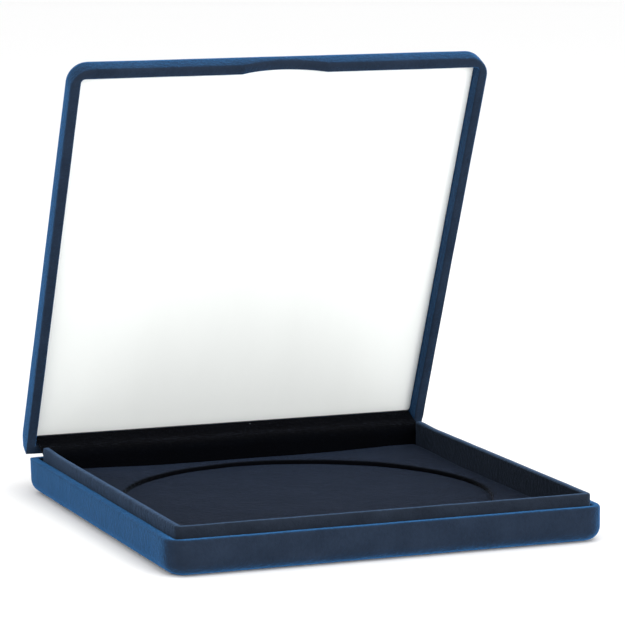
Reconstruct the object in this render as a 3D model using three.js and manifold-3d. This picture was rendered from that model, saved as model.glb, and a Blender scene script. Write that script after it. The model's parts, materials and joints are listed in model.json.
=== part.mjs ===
// Velour-covered display case for one large medal or coin: a shallow tray with a round recess,
// a raised lining collar that locates the lid, and a hinged lid with a white satin panel.
// Millimetres. +X is right, -Y the front with the thumb notch, +Z up, and the origin is the
// centre of the underside. The lid is drawn closed and its group is turned open at the hinge.
import * as THREE from "three";
import { mergeVertices } from "three/addons/utils/BufferGeometryUtils.js";
import Module from "manifold-3d";

const wasm = await Module();
wasm.setup();

// ---- driving dimensions ----

const CASE_HALF = 100;          // half of the square outside
const CORNER_R = 9.5;           // upright front corners, seen from above
const BACK_CORNER_R = 7;        // the corners at the hinge are a little squarer
const INSIDE_CORNER_R = 2.8;    // the shells' inside corners, all four
const EDGE_R = 6;               // rounded bottom edge of the tray and top edge of the lid
const BASE_RIM_Z = 15.6;
const MATING_GAP = 0.1;         // left between the two rims when the lid is shut
const LID_TOP_Z = 28.6;
const OPEN_ANGLE = 66.9;        // degrees between the lid as drawn here and the shut lid

const VELOUR = 0.8;             // pile fabric with its backing
const TURN_IN = 0.7;            // the same fabric stretched over the rim and down inside
const GLUE_GAP = 0.3;           // between one layer and the next
const SHELL_WALL = 2.2;
const SHELL_PANEL = 2;          // moulded floor of the tray and roof of the lid
const BASE_TURN_IN_Z = 10.4;    // where the turned-in fabric ends inside the tray
const LID_TURN_IN_Z = 23.5;     // and inside the lid

const COLLAR_OUTER = 95.2;      // outer face of the velour-covered lining collar
const COLLAR_INNER = 92;
const COLLAR_BACK_Y = 91.7;     // the open ends of its side walls
const COLLAR_FOOT_Z = 4.2;
const COLLAR_TOP_Z = 20.5;
const COLLAR_CORNER_R = 3.5;
const COLLAR_INSIDE_R = 1;
const COLLAR_BOARD = 1;
const BACK_BOARD_TOP_Z = 15.2;

const PAD_HALF = 91.7;          // the pads fill the collar with a small clearance
const PAD_CORNER_R = 1.5;
const RISER_TOP_Z = 4.6;
const RISER_HALF = 90;
const RECESS_BOARD_TOP_Z = 6.4;
const RECESS_Z = 7.2;           // top of the velour that the medal lies on
const INSERT_Z = 9.2;           // top of the velour around the recess
const RECESS_R = 83;

const SATIN_Z = 22.2;           // face of the satin, with the lid shut
const SATIN_HALF = 95.3;
const SATIN_BACK_Y = 94.3;      // the flap's turned end lies behind the satin here
const SATIN_SKIN = 0.4;
const SATIN_CORNER_R = 1.6;
const FOAM = 0.9;
const LID_BOARD = 0.8;

const NOTCH_HALF_WIDTH = 20.5;
const NOTCH_DEPTH = 3.6;
const NOTCH_CUT_LENGTH = 20;
const NOTCH_CUT_SIDES = 160;

const HINGE_Y = 101.7;
const HINGE_Z = 13.8;
const KNUCKLE_R = 1.3;
const KNUCKLE_BORE_R = 0.75;
const PIN_R = 0.66;
const KNUCKLES = 5;
const BARREL_SIDES = 16;
const HINGE_HALF_LENGTH = 60;
const KNUCKLE_GAP = 0.3;
const LEAF = 0.6;
const JOIN = 0.1;               // how far a tab sits inside the faces it grows from
const BASE_LEAF_Z = [6.4, 13.4];
const LID_LEAF_Z = [16.9, 22.4];
const RIVET_X = [-48, -16, 16, 48];
const RIVET_R = 1;
const RIVET_SET_BACK = 0.1;     // from the shell's inner face to the rivet's end
const RIVET_SIDES = 16;
const BASE_RIVET_Z = 8.6;
const LID_RIVET_Z = 20;

const FLAP = 0.8;
const FLAP_HALF = 94.5;          // its ends pass behind the collar
const FLAP_FOOT_Z = 5;
const FLAP_BEND_Z = 15.5;       // upright against the back board up to here
const FLAP_RISE = 3.4;          // how far the bend's two ends go on straight
const FLAP_LAND = 4;
const FLAP_END_GAP = 0.2;       // from the flap's end to the satin
const FLAP_STEPS = 10;

const CORNER_STEPS = 3;         // facets in a quarter circle of the boards and sleeves
const SHELL_STEPS = 4;          // the same for the outside of the case
const RECESS_STEPS = 24;

const SKIN_INSET = VELOUR + GLUE_GAP;                     // outside of the case to the shell
const SHELL_INSIDE = CASE_HALF - SKIN_INSET - SHELL_WALL; // half width inside the shells
const TURN_OUTER = SHELL_INSIDE - GLUE_GAP;
const TURN_INNER = TURN_OUTER - TURN_IN;                  // half width inside the rims
const LID_RIM_Z = BASE_RIM_Z + MATING_GAP;
const BASE_FLOOR_Z = SKIN_INSET + SHELL_PANEL;
const LID_ROOF_Z = LID_TOP_Z - SKIN_INSET - SHELL_PANEL;
const FAR = 150;                                          // past every side of the case
const PAST = 1;                                           // how far a cut runs past a face

// ---- solids ----

function solid(geometry) {
  const bare = geometry.clone();
  bare.deleteAttribute("normal");
  bare.deleteAttribute("uv");
  const merged = mergeVertices(bare, 1e-4);
  return new wasm.Manifold(new wasm.Mesh({
    numProp: 3,
    vertProperties: new Float32Array(merged.attributes.position.array),
    triVerts: new Uint32Array(merged.index.array),
  }));
}

function geometryOf(body) {
  const mesh = body.getMesh();
  const geometry = new THREE.BufferGeometry();
  geometry.setAttribute("position", new THREE.BufferAttribute(new Float32Array(mesh.vertProperties), 3));
  geometry.setIndex(new THREE.BufferAttribute(new Uint32Array(mesh.triVerts), 1));
  const faceted = geometry.toNonIndexed();
  faceted.computeVertexNormals();
  return faceted;
}

function block(x0, x1, y0, y1, z0, z1) {
  const box = new THREE.BoxGeometry(x1 - x0, y1 - y0, z1 - z0);
  box.translate((x0 + x1) / 2, (y0 + y1) / 2, (z0 + z1) / 2);
  return solid(box);
}

// A rounded rectangle seen from above, from (x0, y0) to (x1, y1).
function outline(x0, x1, y0, y1, radius, back = radius) {
  const shape = new THREE.Shape();
  shape.absarc(x1 - radius, y0 + radius, radius, -Math.PI / 2, 0, false);
  shape.absarc(x1 - back, y1 - back, back, 0, Math.PI / 2, false);
  shape.absarc(x0 + back, y1 - back, back, Math.PI / 2, Math.PI, false);
  shape.absarc(x0 + radius, y0 + radius, radius, Math.PI, 1.5 * Math.PI, false);
  shape.closePath();
  return shape;
}

function prism(shape, z0, z1) {
  const geometry = new THREE.ExtrudeGeometry(shape, {
    depth: z1 - z0,
    bevelEnabled: false,
    curveSegments: CORNER_STEPS,
  });
  geometry.translate(0, 0, z0);
  return solid(geometry);
}

function squarePrism(half, radius, z0, z1) {
  return prism(outline(-half, half, -half, half, radius), z0, z1);
}

// A tray-like form: rounded along its closed end at closedZ and cut flat at rimZ.
function trayForm(inset, closedZ, rimZ, front = CORNER_R - inset, back = BACK_CORNER_R - inset) {
  const half = CASE_HALF - inset;
  const edge = EDGE_R - inset;
  const height = Math.abs(rimZ - closedZ) + edge;
  const geometry = new THREE.ExtrudeGeometry(outline(-half, half, -half, half, front, back), {
    depth: height - edge,
    bevelThickness: edge,
    bevelSize: edge,
    bevelOffset: -edge,
    bevelSegments: SHELL_STEPS,
    curveSegments: SHELL_STEPS,
  });
  geometry.translate(0, 0, rimZ > closedZ ? closedZ + edge : closedZ - height);
  const low = Math.min(closedZ, rimZ);
  const high = Math.max(closedZ, rimZ);
  return solid(geometry).intersect(block(-FAR, FAR, -FAR, FAR, low, high));
}

function cylinder(radius, x0, x1, y, z) {
  const geometry = new THREE.CylinderGeometry(radius, radius, x1 - x0, BARREL_SIDES);
  geometry.rotateZ(Math.PI / 2);
  geometry.translate((x0 + x1) / 2, y, z);
  return solid(geometry);
}

function peg(radius, x, z, y0, y1) {
  const geometry = new THREE.CylinderGeometry(radius, radius, y1 - y0, RIVET_SIDES);
  geometry.translate(x, (y0 + y1) / 2, z);
  return solid(geometry);
}

// ---- materials ----

function finish(color, roughness, metalness = 0) {
  return () => new THREE.MeshStandardMaterial({ color, roughness, metalness });
}

const blueVelour = finish(0x24507c, 0.95);
const whiteSatin = finish(0xf1f3ee, 0.5);
const greyPlastic = finish(0x53565a, 0.6);
const greyCard = finish(0x8d867a, 0.9);
const whiteFoam = finish(0xe6e3da, 0.95);
const springSteel = finish(0xb6b8ba, 0.35, 1);

const tray = new THREE.Group();
const lid = new THREE.Group();

function place(group, name, body, material) {
  const mesh = new THREE.Mesh(geometryOf(body), material());
  mesh.name = name;
  group.add(mesh);
}

// ---- hinge positions shared by the shells and the hinge ----

const leafOuterY = CASE_HALF - SKIN_INSET;
const leafInnerY = leafOuterY - LEAF;
const leafPocketY = leafInnerY - GLUE_GAP;

function leafPocket(z0, z1) {
  const reach = HINGE_HALF_LENGTH + GLUE_GAP;
  return block(-reach, reach, leafPocketY, FAR, z0 - GLUE_GAP, z1 + GLUE_GAP);
}

function rivetHoles(z) {
  const holes = RIVET_X.map((x) => peg(RIVET_R + GLUE_GAP, x, z, COLLAR_OUTER, FAR));
  return holes.reduce((all, hole) => all.add(hole));
}

// Thin slit where the hinge leaf leaves the back through the velour.
function leafSlit(z) {
  const reach = HINGE_HALF_LENGTH + GLUE_GAP;
  return block(-reach, reach, leafPocketY, FAR, z - GLUE_GAP, z + LEAF + GLUE_GAP);
}

// ---- shells and their velour ----

// The thumb notch is a shallow round arch in the lid's front rim.
function thumbNotch(grow) {
  const radius = (NOTCH_HALF_WIDTH ** 2 + NOTCH_DEPTH ** 2) / (2 * NOTCH_DEPTH);
  const cut = radius + grow;
  const geometry = new THREE.CylinderGeometry(cut, cut, NOTCH_CUT_LENGTH, NOTCH_CUT_SIDES);
  geometry.translate(0, -CASE_HALF, LID_RIM_Z + NOTCH_DEPTH - radius);
  return solid(geometry);
}

function shellHollow(closedZ, rimZ) {
  return trayForm(SKIN_INSET + SHELL_WALL, closedZ, rimZ, INSIDE_CORNER_R, INSIDE_CORNER_R);
}

const turnOuterR = INSIDE_CORNER_R - GLUE_GAP;
const turnInnerR = turnOuterR - TURN_IN;

const baseHollow = shellHollow(BASE_FLOOR_Z, BASE_RIM_Z + PAST);
const baseShell = trayForm(SKIN_INSET, SKIN_INSET, BASE_RIM_Z - SKIN_INSET)
  .subtract(baseHollow)
  .subtract(leafPocket(...BASE_LEAF_Z))
  .subtract(rivetHoles(BASE_RIVET_Z));
place(tray, "base_shell", baseShell, greyPlastic);

const baseTurnIn = squarePrism(TURN_OUTER, turnOuterR, BASE_TURN_IN_Z, BASE_RIM_Z);
const baseOpening = squarePrism(TURN_INNER, turnInnerR, BASE_FLOOR_Z, BASE_RIM_Z + PAST);
const baseWrap = trayForm(0, 0, BASE_RIM_Z)
  .subtract(trayForm(VELOUR, VELOUR, BASE_RIM_Z - VELOUR))
  .add(baseTurnIn)
  .subtract(baseOpening)
  .subtract(leafSlit(BASE_LEAF_Z[1] - LEAF));
place(tray, "base_velour_wrap", baseWrap, blueVelour);

const lidHollow = shellHollow(LID_ROOF_Z, LID_RIM_Z - PAST);
const lidShell = trayForm(SKIN_INSET, LID_TOP_Z - SKIN_INSET, LID_RIM_Z + SKIN_INSET)
  .subtract(lidHollow)
  .subtract(thumbNotch(SKIN_INSET))
  .subtract(leafPocket(...LID_LEAF_Z))
  .subtract(rivetHoles(LID_RIVET_Z));
place(lid, "lid_shell", lidShell, greyPlastic);

const lidTurnIn = squarePrism(TURN_OUTER, turnOuterR, LID_RIM_Z, LID_TURN_IN_Z);
const lidOpening = squarePrism(TURN_INNER, turnInnerR, LID_RIM_Z - PAST, LID_ROOF_Z);
const lidWrap = trayForm(0, LID_TOP_Z, LID_RIM_Z)
  .subtract(trayForm(VELOUR, LID_TOP_Z - VELOUR, LID_RIM_Z + VELOUR).subtract(thumbNotch(VELOUR)))
  .add(lidTurnIn)
  .subtract(lidOpening)
  .subtract(thumbNotch(0))
  .subtract(leafSlit(LID_LEAF_Z[0]));
place(lid, "lid_velour_wrap", lidWrap, blueVelour);

// ---- lining collar: boards in a velour sleeve on three sides, a low board at the back ----

const boardOuter = COLLAR_OUTER - VELOUR - GLUE_GAP;
const boardInner = boardOuter - COLLAR_BOARD;
const boardTopZ = COLLAR_TOP_Z - VELOUR - GLUE_GAP;
const sideBackY = COLLAR_BACK_Y - GLUE_GAP;
const sideFrontY = -boardInner + GLUE_GAP;

for (const [name, side] of [["left", -1], ["right", 1]]) {
  const near = Math.min(side * boardInner, side * boardOuter);
  const board = block(near, near + COLLAR_BOARD, sideFrontY, sideBackY, COLLAR_FOOT_Z, boardTopZ);
  place(tray, `collar_board_${name}`, board, greyCard);
}

const frontEnd = boardOuter - COLLAR_CORNER_R;
const frontBoard = block(-frontEnd, frontEnd, -boardOuter, -boardInner, COLLAR_FOOT_Z, boardTopZ);
place(tray, "collar_board_front", frontBoard, greyCard);

const backBoardY = COLLAR_INNER + FLAP + GLUE_GAP;
const backBoard = block(-PAD_HALF, PAD_HALF, backBoardY, COLLAR_OUTER, COLLAR_FOOT_Z, BACK_BOARD_TOP_Z);
place(tray, "collar_board_back", backBoard, greyCard);

const sleeveHollow = outline(
  -boardOuter - GLUE_GAP, boardOuter + GLUE_GAP, -boardOuter - GLUE_GAP, FAR, COLLAR_CORNER_R - VELOUR);
const sleeveCore = outline(
  -COLLAR_INNER - VELOUR, COLLAR_INNER + VELOUR, -COLLAR_INNER - VELOUR, FAR, COLLAR_INSIDE_R);
const sleeveMiddle = outline(-COLLAR_INNER, COLLAR_INNER, -COLLAR_INNER, FAR, COLLAR_INSIDE_R);
const sleeveGroove = prism(sleeveHollow, COLLAR_FOOT_Z - PAST, COLLAR_TOP_Z - VELOUR)
  .subtract(prism(sleeveCore, COLLAR_FOOT_Z - PAST, COLLAR_TOP_Z));
const sleeve = squarePrism(COLLAR_OUTER, COLLAR_CORNER_R, COLLAR_FOOT_Z, COLLAR_TOP_Z)
  .subtract(prism(sleeveMiddle, COLLAR_FOOT_Z - PAST, COLLAR_TOP_Z + PAST))
  .subtract(sleeveGroove)
  .intersect(block(-FAR, FAR, -FAR, COLLAR_BACK_Y, 0, FAR));
place(tray, "collar_velour_sleeve", sleeve, blueVelour);

// ---- pads in the tray ----

// An upright disc at the middle of the tray.
function disc(radius, z0, z1) {
  const geometry = new THREE.CylinderGeometry(radius, radius, z1 - z0, 4 * RECESS_STEPS);
  geometry.rotateX(Math.PI / 2);
  geometry.translate(0, 0, (z0 + z1) / 2);
  return solid(geometry);
}

function ring(half, radius, z0, z1) {
  return squarePrism(half, PAD_CORNER_R, z0, z1).subtract(disc(radius, z0 - PAST, z1 + PAST));
}

const insertBoardTopZ = INSERT_Z - VELOUR;
const padCard = (half, z0, z1) => squarePrism(half, PAD_CORNER_R, z0, z1);
place(tray, "riser_card", padCard(RISER_HALF, BASE_FLOOR_Z, RISER_TOP_Z), greyCard);
place(tray, "recess_board", padCard(PAD_HALF, RISER_TOP_Z, RECESS_BOARD_TOP_Z), greyCard);
place(tray, "recess_velour", disc(RECESS_R - GLUE_GAP, RECESS_BOARD_TOP_Z, RECESS_Z), blueVelour);

const insertBoard = ring(
  PAD_HALF - VELOUR - GLUE_GAP, RECESS_R + VELOUR + GLUE_GAP, RECESS_BOARD_TOP_Z,
  insertBoardTopZ - GLUE_GAP);
place(tray, "insert_board", insertBoard, greyCard);

// The velour covers the board's top and turns down over its edge and through the hole.
const insertVelour = ring(PAD_HALF, RECESS_R, RECESS_BOARD_TOP_Z, INSERT_Z)
  .subtract(ring(PAD_HALF - VELOUR, RECESS_R + VELOUR, RECESS_BOARD_TOP_Z - PAST, insertBoardTopZ));
place(tray, "insert_velour", insertVelour, blueVelour);

// ---- satin pad in the lid: board, foam and the satin drawn over them ----

function satinPrism(inset, z0, z1) {
  const shape = outline(
    -SATIN_HALF + inset, SATIN_HALF - inset, -SATIN_HALF + inset, SATIN_BACK_Y - inset,
    SATIN_CORNER_R - inset);
  return prism(shape, z0, z1);
}

const foamZ = SATIN_Z + SATIN_SKIN + GLUE_GAP;
const lidBoardZ = foamZ + FOAM + GLUE_GAP;
const lidBoardTopZ = lidBoardZ + LID_BOARD;
const padInset = SATIN_SKIN + GLUE_GAP;
const satin = satinPrism(0, SATIN_Z, lidBoardTopZ)
  .subtract(satinPrism(SATIN_SKIN, SATIN_Z + SATIN_SKIN, lidBoardTopZ + PAST));
place(lid, "lid_satin_cover", satin, whiteSatin);
place(lid, "lid_pad_foam", satinPrism(padInset, foamZ, foamZ + FOAM), whiteFoam);
place(lid, "lid_pad_board", satinPrism(padInset, lidBoardZ, lidBoardTopZ), greyCard);

// ---- hinge: two leaves under the velour of the back walls, turning on one pin ----

const knuckleLength = (2 * HINGE_HALF_LENGTH) / KNUCKLES;

// Knuckle barrels, each with a tab that joins it to the leaf.
function knuckles(first, tab) {
  let all = null;
  for (let i = first; i < KNUCKLES; i += 2) {
    const x0 = -HINGE_HALF_LENGTH + i * knuckleLength + KNUCKLE_GAP / 2;
    const x1 = x0 + knuckleLength - KNUCKLE_GAP;
    const barrel = cylinder(KNUCKLE_R, x0, x1, HINGE_Y, HINGE_Z).add(tab(x0, x1));
    all = all ? all.add(barrel) : barrel;
  }
  const bore = cylinder(KNUCKLE_BORE_R, -FAR, FAR, HINGE_Y, HINGE_Z);
  return all.subtract(bore);
}

function leafPlate([z0, z1], rivetZ) {
  return block(-HINGE_HALF_LENGTH, HINGE_HALF_LENGTH, leafInnerY, leafOuterY, z0, z1)
    .subtract(rivetHoles(rivetZ));
}

// The base leaf's tabs run straight back into the front of the barrel.
const tabStartY = leafInnerY + JOIN;
const baseTabZ = BASE_LEAF_Z[1] - JOIN;
const baseTabEndY = HINGE_Y - KNUCKLE_BORE_R + JOIN / 2;
const baseLeaf = leafPlate(BASE_LEAF_Z, BASE_RIVET_Z)
  .add(knuckles(0, (x0, x1) => block(x0, x1, tabStartY, baseTabEndY, baseTabZ - LEAF, baseTabZ)));
place(tray, "hinge_leaf_base", baseLeaf, springSteel);

// The lid leaf's tabs reach over the tray's rim and turn down behind the barrel.
const lidTabZ = LID_LEAF_Z[0] + JOIN;
const barrelBackY = HINGE_Y + KNUCKLE_R - JOIN / 2;
const lidTab = (x0, x1) => block(x0, x1, tabStartY, barrelBackY, lidTabZ, lidTabZ + LEAF)
  .add(block(x0, x1, HINGE_Y + KNUCKLE_BORE_R + JOIN / 2, barrelBackY, HINGE_Z + JOIN, lidTabZ + LEAF));
const lidLeaf = leafPlate(LID_LEAF_Z, LID_RIVET_Z).add(knuckles(1, lidTab));
place(lid, "hinge_leaf_lid", lidLeaf, springSteel);

const pin = cylinder(PIN_R, -HINGE_HALF_LENGTH, HINGE_HALF_LENGTH, HINGE_Y, HINGE_Z);
place(tray, "hinge_pin", pin, springSteel);

function addRivets(group, name, z) {
  RIVET_X.forEach((x, i) => {
    const rivet = peg(RIVET_R, x, z, SHELL_INSIDE + RIVET_SET_BACK, leafOuterY);
    place(group, `${name}_${i + 1}`, rivet, springSteel);
  });
}

addRivets(tray, "hinge_rivet_base", BASE_RIVET_Z);
addRivets(lid, "hinge_rivet_lid", LID_RIVET_Z);

// ---- velour hinge flap: up the back board, then over to the lid's back wall ----

const open = THREE.MathUtils.degToRad(OPEN_ANGLE);

// Where a point of the shut lid stands with the lid open, in the (y, z) plane.
function opened(y, z) {
  const dy = y - HINGE_Y;
  const dz = z - HINGE_Z;
  return new THREE.Vector2(
    HINGE_Y + dy * Math.cos(open) + dz * Math.sin(open),
    HINGE_Z - dy * Math.sin(open) + dz * Math.cos(open));
}

const flapFoot = new THREE.Vector2(COLLAR_INNER + FLAP / 2, FLAP_FOOT_Z);
const flapBend = new THREE.Vector2(COLLAR_INNER + FLAP / 2, FLAP_BEND_Z);
const flapLidY = TURN_INNER - GLUE_GAP - FLAP / 2;
const flapLid = opened(flapLidY, LID_RIM_Z + GLUE_GAP);
const flapEnd = opened(flapLidY, SATIN_Z - FLAP_END_GAP);
const flapReach = flapEnd.clone().sub(flapLid).normalize();
const flapCurve = new THREE.CubicBezierCurve(
  flapBend, flapBend.clone().add(new THREE.Vector2(0, FLAP_RISE)),
  flapLid.clone().addScaledVector(flapReach, -FLAP_LAND), flapLid);
const flapLine = [flapFoot, ...flapCurve.getPoints(FLAP_STEPS), flapEnd];

const flapFaces = [1, -1].map((side) => flapLine.map((point, i) => {
  const before = flapLine[Math.max(i - 1, 0)];
  const after = flapLine[Math.min(i + 1, flapLine.length - 1)];
  const along = after.clone().sub(before).normalize();
  return new THREE.Vector2(point.x - along.y * side * FLAP / 2, point.y + along.x * side * FLAP / 2);
}));
const flapSection = new THREE.Shape([...flapFaces[0], ...flapFaces[1].reverse()]);
const flapGeometry = new THREE.ExtrudeGeometry(flapSection, { depth: 2 * FLAP_HALF, bevelEnabled: false });
flapGeometry.translate(0, 0, -FLAP_HALF);
// The section's (x, y) is the case's (y, z), and its depth runs along the case's x.
flapGeometry.applyMatrix4(new THREE.Matrix4().makeBasis(
  new THREE.Vector3(0, 1, 0), new THREE.Vector3(0, 0, 1), new THREE.Vector3(1, 0, 0)));
place(tray, "hinge_flap", solid(flapGeometry), blueVelour);

// ---- assembly ----

const shutLid = new THREE.Group();
shutLid.position.set(0, -HINGE_Y, -HINGE_Z);
shutLid.add(lid);

const hingedLid = new THREE.Group();
hingedLid.position.set(0, HINGE_Y, HINGE_Z);
hingedLid.rotation.x = -open;
hingedLid.add(shutLid);

const displayCase = new THREE.Group();
displayCase.add(tray, hingedLid);

export default displayCase;
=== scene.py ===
"""A square velour display case for one large medal or coin, open, with a white satin lid panel.

Metres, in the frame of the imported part: +X right, -Y front, +Z up, origin under the tray.
"""

import json
import math

import bmesh
import bpy
from mathutils import Matrix, Vector


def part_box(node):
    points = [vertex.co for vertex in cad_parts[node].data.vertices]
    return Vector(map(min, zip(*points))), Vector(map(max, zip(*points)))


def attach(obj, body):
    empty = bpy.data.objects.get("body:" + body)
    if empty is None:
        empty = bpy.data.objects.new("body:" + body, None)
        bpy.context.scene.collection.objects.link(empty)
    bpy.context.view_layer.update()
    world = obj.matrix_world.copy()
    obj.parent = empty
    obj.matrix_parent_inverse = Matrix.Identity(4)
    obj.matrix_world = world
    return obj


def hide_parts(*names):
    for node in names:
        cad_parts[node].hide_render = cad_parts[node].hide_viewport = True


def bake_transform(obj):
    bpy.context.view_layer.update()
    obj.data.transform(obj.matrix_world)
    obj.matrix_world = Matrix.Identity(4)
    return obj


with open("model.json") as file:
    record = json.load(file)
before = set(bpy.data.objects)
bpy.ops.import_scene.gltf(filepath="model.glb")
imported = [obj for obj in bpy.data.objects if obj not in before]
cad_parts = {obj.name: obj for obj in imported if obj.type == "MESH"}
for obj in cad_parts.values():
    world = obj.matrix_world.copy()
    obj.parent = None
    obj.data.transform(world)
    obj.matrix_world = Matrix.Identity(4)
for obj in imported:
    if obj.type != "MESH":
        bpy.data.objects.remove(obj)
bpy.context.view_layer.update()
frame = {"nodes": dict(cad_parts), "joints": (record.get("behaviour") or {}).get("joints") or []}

# ---- Camera ----
# A long lens on a stand to the left of the case, a little above the lid's middle and
# looking slightly down, with no shift.

camera_data = bpy.data.cameras.new("camera")
camera_data.lens = 198.7
camera_data.clip_end = 20
camera = bpy.data.objects.new("camera", camera_data)
camera.location = (-0.5549, -1.4109, 0.3161)
camera.rotation_euler = (math.radians(90 - 8.42), 0, math.radians(-21.56))
bpy.context.scene.collection.objects.link(camera)
bpy.context.scene.camera = camera

# ---- Studio ----
# A pale seamless floor under broad soft light: a weak box overhead, a weak one to the left for
# the side walls, and a stronger one by the camera. The surroundings are plain white.

floor_size = 12
bpy.ops.mesh.primitive_plane_add(size=floor_size, location=(0, 3, -0.0002))
floor = bpy.context.object
floor.name = "floor"
floor_paint = bpy.data.materials.new("floor_paint")
floor_paint.use_nodes = True
floor_shader = floor_paint.node_tree.nodes["Principled BSDF"]
floor_shader.inputs["Base Color"].default_value = (0.97, 0.97, 0.97, 1)
floor_shader.inputs["Roughness"].default_value = 0.8
floor_shader.inputs["Specular IOR Level"].default_value = 0.1
floor.data.materials.append(floor_paint)

world = bpy.data.worlds.new("studio")
world.use_nodes = True
world.node_tree.nodes["Background"].inputs["Color"].default_value = (1, 1, 1, 1)
world.node_tree.nodes["Background"].inputs["Strength"].default_value = 1.0
bpy.context.scene.world = world
bpy.context.scene.view_settings.view_transform = "Standard"


def soft_box(name, place, aim, size, power):
    light = bpy.data.lights.new(name, "AREA")
    light.shape = "RECTANGLE"
    light.size, light.size_y = size
    light.energy = power
    lamp = bpy.data.objects.new(name, light)
    lamp.location = place
    lamp.rotation_euler = (Vector(aim) - Vector(place)).to_track_quat("-Z", "Y").to_euler()
    bpy.context.scene.collection.objects.link(lamp)


soft_box("overhead_light", (0.3, -0.5, 1.6), (0, 0, 0.05), (1.6, 1.2), 8)
soft_box("left_light", (-1.6, -0.2, 0.7), (0, 0, 0.08), (1.2, 1.2), 6)
soft_box("front_light", (0.6, -2.0, 0.5), (0, 0, 0.1), (1.2, 0.8), 26)

# ---- Outer velour of the tray ----
# One piece of short-pile velour is drawn over the moulded tray, glued, turned over the rim
# and pressed down inside. It is bright blue where it is seen at a glance, dark head-on.


class Value:
    """A node's output that takes part in ordinary arithmetic."""

    def __init__(self, paint, socket):
        self.paint, self.socket = paint, socket

    def _math(self, operation, other):
        return self.paint.node("ShaderNodeMath", {"operation": operation}, {0: self, 1: other})

    def __add__(self, other):
        return self._math("ADD", other)

    def __mul__(self, other):
        return self._math("MULTIPLY", other)

    __radd__ = __add__
    __rmul__ = __mul__


class Paint:
    """A material whose nodes are made one call at a time."""

    def __init__(self, name):
        self.material = bpy.data.materials.new(name)
        self.material.use_nodes = True
        self.tree = self.material.node_tree
        self.shader = self.tree.nodes["Principled BSDF"]
        self.place = self.node("ShaderNodeTexCoord", output="Object")

    def node(self, kind, settings=None, sockets=None, output=0):
        made = self.tree.nodes.new(kind)
        for name, value in (settings or {}).items():
            setattr(made, name, value)
        for name, value in (sockets or {}).items():
            self.put(made.inputs[name], value)
        return Value(self, made.outputs[output])

    def put(self, socket, value):
        if isinstance(value, Value):
            self.tree.links.new(value.socket, socket)
        else:
            socket.default_value = value

    def finish(self, **sockets):
        for name, value in sockets.items():
            self.put(self.shader.inputs[name.replace("_", " ")], value)
        return self.material

    def noise(self, size, detail=2.0, rough=0.5, stretch=(1, 1, 1)):
        """Smooth noise from 0 to 1 whose patches are about size metres across."""
        place = self.node("ShaderNodeMapping", None, {"Vector": self.place, "Scale": stretch})
        return self.node("ShaderNodeTexNoise", None, {
            "Vector": place, "Scale": 1 / size, "Detail": detail, "Roughness": rough})

    def mix(self, amount, first, second):
        return self.node("ShaderNodeMix", {"data_type": "RGBA"}, {
            "Factor": amount, 6: first, 7: second}, output=2)

    def tint(self, color, amount):
        """A colour made lighter or darker by a number round 1."""
        return self.node("ShaderNodeVectorMath", {"operation": "SCALE"}, {
            "Vector": color, "Scale": amount})

    def bump(self, height, distance, strength=1.0):
        return self.node("ShaderNodeBump", None, {
            "Height": height, "Distance": distance, "Strength": strength})


lint_cells = 90
lint_size = 0.022
lint_rarity = 0.93
lint_strength = 0.7
lint_color = (0.35, 0.4, 0.45, 1)


def velour(name, color, sheen_color, sheen_roughness=0.3):
    """Short-pile velour: dark where it is seen head-on, sheen_color where it is seen at a glance."""
    paint = Paint(name)
    brushed = paint.noise(0.014, 2)
    nap = paint.noise(0.002, 3, 0.65)
    fibre = paint.noise(0.0004, 2, 0.6)
    shade = 0.3 + 0.7 * brushed + 0.5 * nap + 0.2 * fibre
    cells = {"Vector": paint.place, "Scale": lint_cells}
    threads = paint.node("ShaderNodeTexVoronoi", {"feature": "F1"}, cells)
    cell = paint.node("ShaderNodeTexVoronoi", {"feature": "F1"}, cells, output="Position")
    chance = paint.node("ShaderNodeTexWhiteNoise", None, {"Vector": cell})
    lint = paint.node("ShaderNodeMath", {"operation": "LESS_THAN"}, {0: threads, 1: lint_size})
    kept = paint.node("ShaderNodeMath", {"operation": "GREATER_THAN"}, {0: chance, 1: lint_rarity})
    height = 0.8 * brushed + 1.0 * nap + 0.5 * fibre
    return paint.finish(
        Base_Color=paint.mix(lint * kept * lint_strength, paint.tint(color, shade), lint_color),
        Roughness=0.95, Specular_IOR_Level=0.05, Normal=paint.bump(height, 0.0005, 0.8),
        Sheen_Weight=1.0, Sheen_Roughness=sheen_roughness, Sheen_Tint=(*sheen_color, 1))


outer_velour = velour("outer_velour", (0.013, 0.0195, 0.033), (0.06, 0.29, 0.72), 0.4)

pile = 0.0008
case_half = 0.1
front_corner = 0.0095
back_corner = 0.007
inside_corner = 0.0018
edge_round = 0.006
rim_round = 0.0014
rim_back_round = 0.0004
rim_inner_round = 0.0007
near = 1e-5


def start_block(name, low, high):
    """A box from corner to corner, open in edit mode with nothing selected."""
    bpy.ops.object.select_all(action="DESELECT")
    low, high = Vector(low), Vector(high)
    bpy.ops.mesh.primitive_cube_add(size=1, location=(low + high) / 2)
    piece = bpy.context.object
    piece.name = name
    piece.scale = high - low
    bpy.ops.object.transform_apply(location=True, rotation=True, scale=True)
    bpy.ops.object.mode_set(mode="EDIT")
    return piece


def pick(piece, kind, test):
    """Selects the verts, edges or faces whose place, and direction or normal, pass the test."""
    bpy.ops.mesh.select_mode(type=kind)
    bpy.ops.mesh.select_all(action="DESELECT")
    mesh = bmesh.from_edit_mesh(piece.data)
    if kind == "EDGE":
        for edge in mesh.edges:
            a, b = (vert.co for vert in edge.verts)
            edge.select_set(test((a + b) / 2, (b - a).normalized()))
    elif kind == "FACE":
        for face in mesh.faces:
            face.select_set(test(face.calc_center_median(), face.normal))
    else:
        for vert in mesh.verts:
            vert.select_set(test(vert.co, vert.normal))
    mesh.select_flush_mode()
    bmesh.update_edit_mesh(piece.data)


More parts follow.
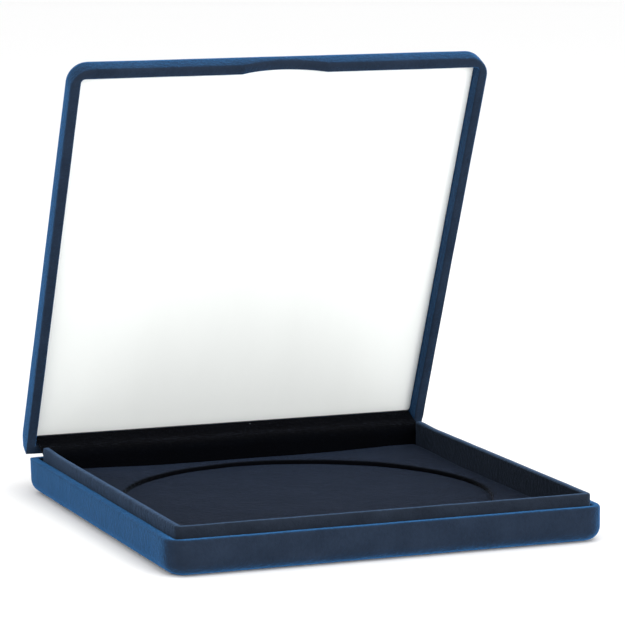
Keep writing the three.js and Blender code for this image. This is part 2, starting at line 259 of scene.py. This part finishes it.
def round_edges(piece, test, radius, segments):
    pick(piece, "EDGE", test)
    bpy.ops.mesh.bevel(
        offset=radius, offset_type="OFFSET", segments=segments, affect="EDGES", clamp_overlap=False)


def slice_up(places, axis):
    """Cuts the whole mesh across at each place along an axis, so that long faces can bend."""
    normal = [0, 0, 0]
    normal[axis] = 1
    for place in places:
        bpy.ops.mesh.select_all(action="SELECT")
        bpy.ops.mesh.bisect(plane_co=[place * n for n in normal], plane_no=normal)


def spread(low, high, count):
    """count places between low and high, half a step in from each end."""
    return [low + (high - low) * (i + 0.5) / count for i in range(count)]


def make_active(piece):
    bpy.ops.object.select_all(action="DESELECT")
    piece.select_set(True)
    bpy.context.view_layer.objects.active = piece


def use_modifier(piece, kind, **settings):
    modifier = piece.modifiers.new(kind.lower(), kind)
    for name, value in settings.items():
        setattr(modifier, name, value)
    make_active(piece)
    bpy.ops.object.modifier_apply(modifier=modifier.name)


def ripple(piece, size, height):
    """Lets a glued fabric surface wander by a fraction of a millimetre."""
    clouds = bpy.data.textures.new(piece.name + "_ripple", "CLOUDS")
    clouds.noise_scale = size
    use_modifier(piece, "DISPLACE", texture=clouds, texture_coords="LOCAL", strength=height, mid_level=0.5)


def end_edit():
    bpy.ops.mesh.select_all(action="SELECT")
    bpy.ops.mesh.remove_doubles(threshold=near)
    bpy.ops.mesh.normals_make_consistent(inside=False)
    bpy.ops.object.mode_set(mode="OBJECT")


def smooth(piece, degrees=40):
    make_active(piece)
    bpy.ops.object.shade_smooth_by_angle(angle=math.radians(degrees))


def dress(piece, material, slot, body, *nodes):
    """Gives a finished piece its material and its body, and hides the CAD nodes that it stands for."""
    piece.data.materials.clear()
    piece.data.materials.append(material)
    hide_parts(*nodes)
    if body:
        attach(piece, body)


def line_with(piece, material, test):
    """Gives the faces that pass the test a second material."""
    piece.data.materials.append(material)
    make_active(piece)
    bpy.ops.object.mode_set(mode="EDIT")
    pick(piece, "FACE", test)
    piece.active_material_index = len(piece.data.materials) - 1
    bpy.ops.object.material_slot_assign()
    bpy.ops.object.mode_set(mode="OBJECT")


def cut_away(piece, cutter):
    """Takes the cutter's form out of a piece and leaves the piece open in edit mode."""
    use_modifier(piece, "BOOLEAN", operation="DIFFERENCE", solver="EXACT", object=cutter)
    bpy.data.objects.remove(cutter)
    make_active(piece)
    bpy.ops.object.mode_set(mode="EDIT")


def square_up(piece, closed_z, rim_z, amount):
    """Makes the back corners squarer towards the rim, where lid and tray meet at the hinge."""
    middle = case_half - back_corner
    for vert in piece.data.vertices:
        x, y, z = vert.co
        dx, dy = abs(x) - middle, y - middle
        if dx > 0 and dy > 0:
            near_rim = min(abs(z - closed_z) / (0.6 * abs(rim_z - closed_z)), 1)
            grow = 1 + amount * near_rim * (math.hypot(dx, dy) / max(dx, dy) - 1)
            vert.co = (math.copysign(middle + dx * grow, x), middle + dy * grow, z)


def on_outline(at, half, front, back):
    """Whether a place is on the outline of a rounded square with these front and back corners."""
    radius = front if at.y < 0 else back
    dx, dy = (max(abs(value) - half + radius, 0) for value in (at.x, at.y))
    return abs(math.hypot(dx, dy) - radius) < 0.03 * radius


def draw_over_shell(name, closed_z, rim_z, turn_z, rim_width):
    """Cloth over a shallow tray: closed at closed_z, round the rim at rim_z, and in to turn_z."""
    low_z, high_z = sorted((closed_z, rim_z))
    inside = case_half - rim_width
    mouth_low, mouth_high = sorted((turn_z, rim_z + (0.001 if rim_z > turn_z else -0.001)))
    mouth = start_block(name + "_mouth", (-inside, -inside, mouth_low), (inside, inside, mouth_high))
    round_edges(mouth, lambda at, way: abs(way.z) > 0.9, inside_corner, 4)
    bpy.ops.object.mode_set(mode="OBJECT")
    piece = start_block(name, (-case_half, -case_half, low_z), (case_half, case_half, high_z))
    round_edges(piece, lambda at, way: abs(way.z) > 0.9 and at.y < 0, front_corner, 10)
    round_edges(piece, lambda at, way: abs(way.z) > 0.9 and at.y > case_half - near, back_corner, 8)
    round_edges(piece, lambda at, way: abs(at.z - closed_z) < near and abs(way.z) < 0.1, edge_round, 8)
    bpy.ops.object.mode_set(mode="OBJECT")
    cut_away(piece, mouth)
    pick(piece, "FACE", lambda at, normal: abs(at.z - turn_z) < near and abs(normal.z) > 0.9)
    bpy.ops.mesh.delete(type="ONLY_FACE")
    corner_y = case_half - back_corner
    for low_y, high_y, radius in ((-1, corner_y, rim_round), (corner_y, 1, rim_back_round)):
        round_edges(piece, lambda at, way: abs(at.z - rim_z) < near and abs(way.z) < 0.1
                    and low_y < at.y < high_y
                    and on_outline(at, case_half, front_corner, back_corner), radius, 5)
    round_edges(piece, lambda at, way: abs(at.z - rim_z) < near and abs(way.z) < 0.1
                and on_outline(at, inside, inside_corner, inside_corner), rim_inner_round, 3)
    return piece


tray_rim_z = 0.0155
tray_squareness = 0.5
tray_velour = draw_over_shell("tray_velour", 0, tray_rim_z, 0.0104, 0.0043)
slice_up(spread(-case_half, case_half, 20), 0)
slice_up(spread(-case_half, case_half, 20), 1)
end_edit()
square_up(tray_velour, 0, tray_rim_z, tray_squareness)
ripple(tray_velour, 0.03, 0.0002)
use_modifier(tray_velour, "SOLIDIFY", thickness=pile, offset=-1)
smooth(tray_velour)
dress(tray_velour, outer_velour, "velour", "base", "base_velour_wrap")

# ---- Moulded tray and lid shells ----
# Thin grey mouldings under the velour. They carry the rivets of the hinge.

moulding = Paint("moulding")
pits = moulding.noise(0.0008, 3, 0.6)
moulding_paint = moulding.finish(
    Base_Color=moulding.tint((0.085, 0.09, 0.1), 0.85 + 0.3 * moulding.noise(0.02)),
    Roughness=0.45 + 0.2 * pits, Normal=moulding.bump(pits, 0.0002, 0.4))


def paint_node(name, material):
    for slot in frame["nodes"][name].material_slots:
        slot.material = material


paint_node("base_shell", moulding_paint)
paint_node("lid_shell", moulding_paint)

# ---- Card under the linings ----
# Grey board, cut and glued: a riser, the floor of the recess, the insert, four collar walls and
# the back of the lid's pad. All of it is hidden by velour or satin.

card = Paint("grey_card")
pulp = card.noise(0.0006, 4, 0.7)
card_paint = card.finish(
    Base_Color=card.mix(pulp, (0.20, 0.185, 0.16, 1), (0.34, 0.32, 0.28, 1)), Roughness=0.9,
    Specular_IOR_Level=0.2, Normal=card.bump(pulp, 0.0001, 0.5))

for board in ("riser_card", "recess_board", "insert_board", "lid_pad_board", "collar_board_left",
              "collar_board_right", "collar_board_front", "collar_board_back"):
    paint_node(board, card_paint)

# ---- Recess lining ----
# A disc of velour glued to the floor of the round recess, where the medal lies.

inner_velour = velour("inner_velour", (0.004, 0.005, 0.008), (0.028, 0.046, 0.088))

recess_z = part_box("recess_velour")[1].z
recess_radius = 0.08292
ring_width = 0.009
circle_sides = 96

bpy.ops.object.select_all(action="DESELECT")
bpy.ops.mesh.primitive_circle_add(
    vertices=circle_sides, radius=recess_radius, fill_type="NGON", location=(0, 0, recess_z))
recess_lining = bpy.context.object
recess_lining.name = "recess_lining"
bpy.ops.object.transform_apply(location=True, rotation=True, scale=True)
bpy.ops.object.mode_set(mode="EDIT")
for ring in range(int(recess_radius / ring_width)):
    bpy.ops.mesh.inset(thickness=ring_width)
end_edit()
ripple(recess_lining, 0.02, 0.0004)
use_modifier(recess_lining, "SOLIDIFY", thickness=pile, offset=-1)
smooth(recess_lining)
dress(recess_lining, inner_velour, "velour", "base", "recess_velour")

# ---- Insert ----
# A square of card with a round hole, covered in velour that is turned down round the outside
# and through the hole. Its corners stand a little higher than the middle of its sides.

# A near-black copy of the lining velour for the upright faces deep in the case, the hole's wall and the
# hinge flap: painted shade of the hollow under the lid.
painted_shade_velour = velour("painted_shade_velour", (0.0002, 0.0005, 0.0014), (0.14, 0.17, 0.24), 0.17)

insert_low, insert_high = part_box("insert_velour")
insert_half = insert_high.x
hole_radius = 0.083
insert_corner = 0.0015
insert_edge = 0.001
insert_corner_rise = 0.001

bpy.ops.object.select_all(action="DESELECT")
bpy.ops.mesh.primitive_cylinder_add(vertices=circle_sides, radius=hole_radius, depth=0.02)
punch = bpy.context.object
insert = start_block("insert_cover", insert_low, insert_high)
round_edges(insert, lambda at, way: abs(way.z) > 0.9, insert_corner, 4)
bpy.ops.object.mode_set(mode="OBJECT")
cut_away(insert, punch)
pick(insert, "FACE", lambda at, normal: normal.z < -0.9)
bpy.ops.mesh.delete(type="ONLY_FACE")
round_edges(insert, lambda at, way: abs(at.z - insert_high.z) < near and abs(way.z) < 0.1, insert_edge, 4)
slice_up(spread(-insert_half, insert_half, 44), 0)
slice_up(spread(-insert_half, insert_half, 44), 1)
pick(insert, "VERT", lambda at, normal: min(abs(at.x), abs(at.y)) > 0.085)
bpy.ops.transform.translate(
    value=(0, 0, insert_corner_rise), use_proportional_edit=True, proportional_edit_falloff="SMOOTH",
    proportional_size=0.05)
end_edit()
ripple(insert, 0.02, 0.0004)
use_modifier(insert, "SOLIDIFY", thickness=pile, offset=-1)
smooth(insert)
dress(insert, inner_velour, "velour", "base", "insert_velour")
# The wall of the round hole takes the near-black copy: painted shade where it stands in the hollow.
line_with(insert, painted_shade_velour, lambda at, normal: abs(normal.z) < 0.8
          and at.to_2d().length < hole_radius + 0.0004)

# ---- Collar ----
# Velour folded over three card walls that stand inside the tray and guide the lid. It is open
# at the back, where the hinge flap passes.

collar_low, collar_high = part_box("collar_velour_sleeve")
collar_wall = 0.0032
collar_corner = 0.0035
collar_edge = 0.0009
collar_end_rise = 0.0006

collar_velour = velour("collar_velour", (0.013, 0.018, 0.028), (0.08, 0.155, 0.29), 0.4)
# A darker copy of the collar velour for the collar's inside faces: painted shade, as they stand in the
# hollow under the lid.
collar_painted_shade = velour("collar_painted_shade", (0.005, 0.007, 0.011), (0.06, 0.09, 0.15), 0.33)

collar = start_block("collar_sleeve", collar_low, collar_high)
round_edges(collar, lambda at, way: abs(way.z) > 0.9 and at.y < 0, collar_corner, 8)
pick(collar, "FACE", lambda at, normal: normal.y > 0.9 or normal.z < -0.9)
bpy.ops.mesh.delete(type="ONLY_FACE")
pick(collar, "FACE", lambda at, normal: normal.z > 0.9)
bpy.ops.mesh.inset(thickness=collar_wall, use_boundary=False)
collar_height = collar_high.z - collar_low.z
bpy.ops.mesh.extrude_region_move(TRANSFORM_OT_translate={"value": (0, 0, -collar_height)})
bpy.ops.mesh.delete(type="ONLY_FACE")
pick(collar, "FACE", lambda at, normal: abs(normal.y) > 0.9 and at.y > collar_high.y - near)
bpy.ops.mesh.delete(type="ONLY_FACE")
for side in (-1, 1):
    pick(collar, "EDGE", lambda at, way: at.y > collar_high.y - near
         and at.x * side > collar_high.x - collar_wall - near)
    bpy.ops.mesh.edge_face_add()
bpy.ops.mesh.select_all(action="SELECT")
bpy.ops.mesh.normals_make_consistent(inside=False)
bpy.ops.mesh.select_mode(type="EDGE")
bpy.ops.mesh.select_all(action="DESELECT")
bpy.ops.mesh.edges_select_sharp(sharpness=math.radians(50))
bpy.ops.mesh.bevel(offset=collar_edge, offset_type="OFFSET", segments=4, affect="EDGES", clamp_overlap=False)
slice_up(spread(collar_low.x, collar_high.x, 40), 0)
slice_up(spread(collar_low.y, collar_high.y, 40), 1)
slice_up(spread(collar_low.z, collar_high.z, 4), 2)
pick(collar, "VERT", lambda at, normal: at.y > collar_high.y - 0.001 and at.z > collar_high.z - 0.003)
bpy.ops.transform.translate(
    value=(0, 0, collar_end_rise), use_proportional_edit=True, proportional_edit_falloff="SMOOTH",
    proportional_size=0.02)
end_edit()
ripple(collar, 0.012, 0.0002)
use_modifier(collar, "SOLIDIFY", thickness=pile, offset=-1)
smooth(collar)
dress(collar, collar_velour, "velour", "base", "collar_velour_sleeve")
# The inside faces of the collar take the darker copy: painted shade.
line_with(collar, collar_painted_shade, lambda at, normal: abs(normal.z) < 0.7
          and at.x * normal.x + at.y * normal.y < 0 and at.z < collar_high.z - collar_edge / 2)

# ---- Hinge ----
# Two spring-steel leaves riveted to the shells under the velour. Their knuckles come out
# through a slit in the back and turn on one pin.

steel = Paint("spring_steel")
streaks = steel.noise(0.0012, 3, 0.6, stretch=(0.05, 1, 1))
steel_paint = steel.finish(
    Base_Color=steel.tint((0.42, 0.43, 0.44), 0.85 + 0.3 * streaks), Metallic=1.0,
    Roughness=0.26 + 0.2 * streaks, Normal=steel.bump(streaks, 0.00005, 0.3))

for name in frame["nodes"]:
    if name.startswith("hinge_") and name != "hinge_flap":
        paint_node(name, steel_paint)

# ---- Outer velour of the lid ----
# The same cloth drawn over the lid. The front rim has a shallow arch for a thumb. It is shaped
# shut and then turned open on the hinge.

lid_rim_z = 0.0158
lid_top_z = 0.0286
notch_half = 0.0205
notch_depth = 0.0036
notch_radius = (notch_half ** 2 + notch_depth ** 2) / (2 * notch_depth)
notch_places = [notch_half * (i - 12) / 12 for i in range(25)]

hinge = frame["joints"][0]
hinge_place = Vector(hinge["pos_m"])
opening = math.radians(-hinge["range_deg"][0])


def open_up(piece):
    """Turns a piece that was shaped with the lid shut to the lid's stored place."""
    turn = Matrix.Rotation(opening, 4, Vector(hinge["axis"]))
    piece.matrix_world = Matrix.Translation(hinge_place) @ turn @ Matrix.Translation(-hinge_place)
    make_active(piece)
    bpy.ops.object.transform_apply(location=True, rotation=True, scale=True)


lid_rim_width = 0.0046
lid_squareness = 0.9
lid_velour = draw_over_shell("lid_velour", lid_top_z, lid_rim_z, 0.0235, lid_rim_width)
slice_up([x for x in spread(-case_half, case_half, 20) if abs(x) > notch_half], 0)
slice_up(notch_places, 0)
slice_up(spread(-case_half, case_half, 20), 1)
bpy.ops.mesh.select_all(action="SELECT")
bpy.ops.mesh.remove_doubles(threshold=near)
for i in range(1, len(notch_places) - 1):
    x = notch_places[i]
    rise = math.sqrt(notch_radius ** 2 - x ** 2) - (notch_radius - notch_depth)
    pick(lid_velour, "VERT", lambda at, normal: abs(at.x - x) < near
         and at.y < lid_rim_width + rim_inner_round - case_half + near
         and at.z < lid_rim_z + rim_round + near)
    bpy.ops.transform.translate(value=(0, 0, rise))
end_edit()
square_up(lid_velour, lid_top_z, lid_rim_z, lid_squareness)
ripple(lid_velour, 0.03, 0.0002)
use_modifier(lid_velour, "SOLIDIFY", thickness=pile, offset=-1)
open_up(lid_velour)
smooth(lid_velour)
dress(lid_velour, outer_velour, "velour", "lid", "lid_velour_wrap")

# ---- Satin pad of the lid ----
# White satin pulled tight over thin foam and card, its edges glued behind the card. It lies
# against the lid's roof with a thin dark line of velour round it.

satin_front, satin_back = -0.0953, 0.0943
satin_z, satin_top_z = 0.0222, 0.0249
satin_half = 0.0953
satin_corner = 0.0016
satin_edge = 0.0005
satin_crown = 0.0003

satin_cloth = Paint("white_satin")
weave = satin_cloth.node("ShaderNodeTexWave", {"wave_type": "BANDS", "bands_direction": "X"}, {
    "Vector": satin_cloth.place, "Scale": 1400, "Distortion": 1.2, "Detail": 1})
slub = satin_cloth.noise(0.02, 3, 0.5, stretch=(1, 0.3, 0.3))
satin_paint = satin_cloth.finish(
    Base_Color=satin_cloth.tint((0.9, 0.925, 0.905), 0.97 + 0.05 * slub), Roughness=0.42 + 0.1 * slub,
    Sheen_Weight=0.2, Sheen_Roughness=0.4, Normal=satin_cloth.bump(0.3 * weave + 0.7 * slub, 0.0001, 0.12))

satin = start_block("satin_pad", (-satin_half, satin_front, satin_z), (satin_half, satin_back, satin_top_z))
round_edges(satin, lambda at, way: abs(way.z) > 0.9, satin_corner, 8)
round_edges(satin, lambda at, way: abs(at.z - satin_z) < near and abs(way.z) < 0.1, satin_edge, 4)
round_edges(satin, lambda at, way: abs(at.z - satin_top_z) < near and abs(way.z) < 0.1, 0.0004, 2)
slice_up(spread(-satin_half, satin_half, 24), 0)
slice_up(spread(satin_front, satin_back, 24), 1)
pick(satin, "VERT", lambda at, normal: at.z < satin_z + near and max(abs(at.x), abs(at.y)) < 0.03)
bpy.ops.transform.translate(
    value=(0, 0, -satin_crown), use_proportional_edit=True, proportional_edit_falloff="SMOOTH",
    proportional_size=0.06)
end_edit()
open_up(satin)
smooth(satin)
dress(satin, satin_paint, "satin", "lid", "lid_satin_cover", "lid_pad_foam")

# ---- Hinge flap ----
# A strip of the lining velour, glued behind the insert and behind the satin. It hides the
# hinge and stands against the back board. As the lid shuts it folds just past the board's top.

flap_width = 0.189
flap_foot = Vector((0.0924, 0.005))
flap_bend = Vector((0.0924, 0.0155))
flap_ledge = Vector((0.1009, 0.0209))
flap_end = Vector((0.1064, 0.0234))
flap_rows, flap_columns = 28, 92
flap_length = 0.0272


def flap_point(along):
    """The middle of the flap's section, (y, z), at a fraction of the way from foot to end."""
    rise = (flap_bend - flap_foot).length
    land = (flap_end - flap_ledge).length
    reach = along * flap_length
    curve = flap_length - rise - land
    if reach < rise:
        return flap_foot.lerp(flap_bend, reach / rise)
    if reach > rise + curve:
        return flap_ledge.lerp(flap_end, (reach - rise - curve) / land)
    t = (reach - rise) / curve
    a = flap_bend + Vector((0, 0.0034))
    b = flap_ledge - (flap_end - flap_ledge).normalized() * 0.004
    return (flap_bend * (1 - t) ** 3 + a * 3 * t * (1 - t) ** 2
            + b * 3 * t * t * (1 - t) + flap_ledge * t ** 3)


verts, faces = [], []
for row in range(flap_rows + 1):
    along = row / flap_rows
    y, z = flap_point(along)
    loose = math.sin(math.pi * min(max((along - 0.12) / 0.6, 0), 1)) ** 2
    for column in range(flap_columns + 1):
        x = flap_width * (column / flap_columns - 0.5)
        bulge = 0.0005 * math.exp(-((x + 0.02) / 0.03) ** 2) + 0.00012 * math.sin(x * 210 + 1.3)
        verts.append((x, y - loose * bulge, z))
for row in range(flap_rows):
    for column in range(flap_columns):
        first = row * (flap_columns + 1) + column
        faces.append((first, first + 1, first + flap_columns + 2, first + flap_columns + 1))
flap_mesh = bpy.data.meshes.new("hinge_flap_cloth")
flap_mesh.from_pydata(verts, [], faces)
flap = bpy.data.objects.new("hinge_flap_cloth", flap_mesh)
bpy.context.scene.collection.objects.link(flap)
ripple(flap, 0.012, 0.0002)
use_modifier(flap, "SOLIDIFY", thickness=0.0007, offset=0)
smooth(flap)
# The flap takes the near-black copy of the lining: painted shade under the leaning lid.
dress(flap, painted_shade_velour, "velour", None, "hinge_flap")
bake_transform(flap)
